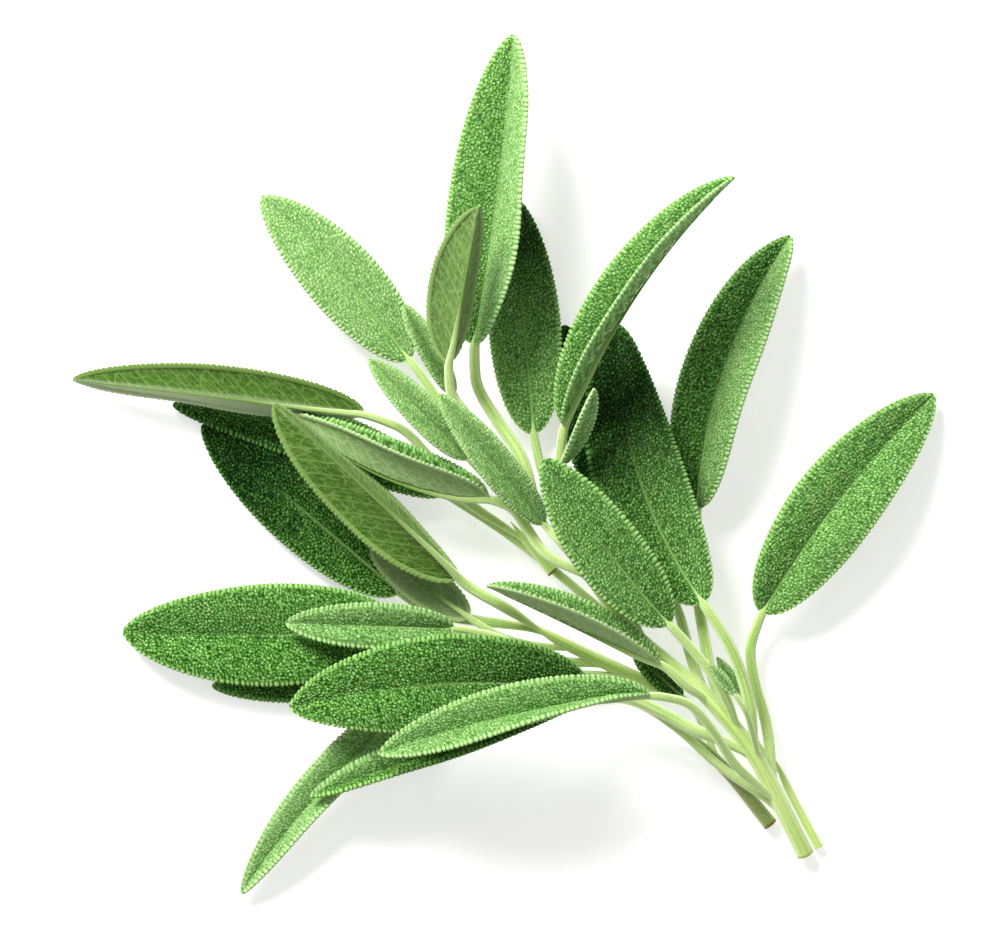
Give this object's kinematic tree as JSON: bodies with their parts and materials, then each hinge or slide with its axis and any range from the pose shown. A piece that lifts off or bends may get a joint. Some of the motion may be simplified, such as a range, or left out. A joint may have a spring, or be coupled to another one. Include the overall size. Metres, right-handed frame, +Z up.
{
  "type": "bunch of sage",
  "caption": "Cut bunch of fresh garden sage lying flat: long velvety leaves on bare petioles, fanned out from stems that come together at their cut ends.",
  "frame": {"origin": "centre of the bunch's box, on the surface it lies on", "axes": "+Z up from the surface; +Y towards the tallest leaf's tip; the cut stem ends lie towards +X and -Y"},
  "size_m": [0.1744, 0.1732, 0.031],
  "materials": {
    "leaf": "velvety green upper face, finely bumpy; olive and net-veined beneath",
    "young_leaf": "downy grey-green",
    "stem": "pale lime green with short white down"
  },
  "bodies": {
    "root": {"stem_main": "stem", "stem_thin": "stem", "stem_low": "stem", "stem_short": "stem", "stem_left": "stem", "leaf_top_tall": "leaf", "leaf_upper_left": "leaf", "leaf_top_reversed": "leaf", "leaf_centre_shaded": "leaf", "leaf_arched_right": "leaf", "leaf_upper_right": "leaf", "leaf_far_right": "leaf", "leaf_large_dark": "leaf", "leaf_hidden_dark": "leaf", "leaf_upright_small": "leaf", "leaf_front_middle": "leaf", "leaf_lower_edge": "leaf", "leaf_long_left": "leaf", "leaf_under_long": "leaf", "leaf_shaded_left": "leaf", "leaf_folded_left": "leaf", "leaf_rolled": "leaf", "leaf_small_reversed": "leaf", "leaf_broad_left": "leaf", "leaf_on_broad": "leaf", "leaf_beneath_broad": "leaf", "leaf_broad_front": "leaf", "leaf_arched_front": "leaf", "leaf_below_arch": "leaf", "leaf_bottom_long": "leaf", "leaf_at_fork": "leaf", "young_left": "young_leaf", "young_upright": "young_leaf", "young_centre": "young_leaf", "bud_leaf_left": "young_leaf", "bud_leaf_right": "young_leaf"}
  },
  "joints": []
}
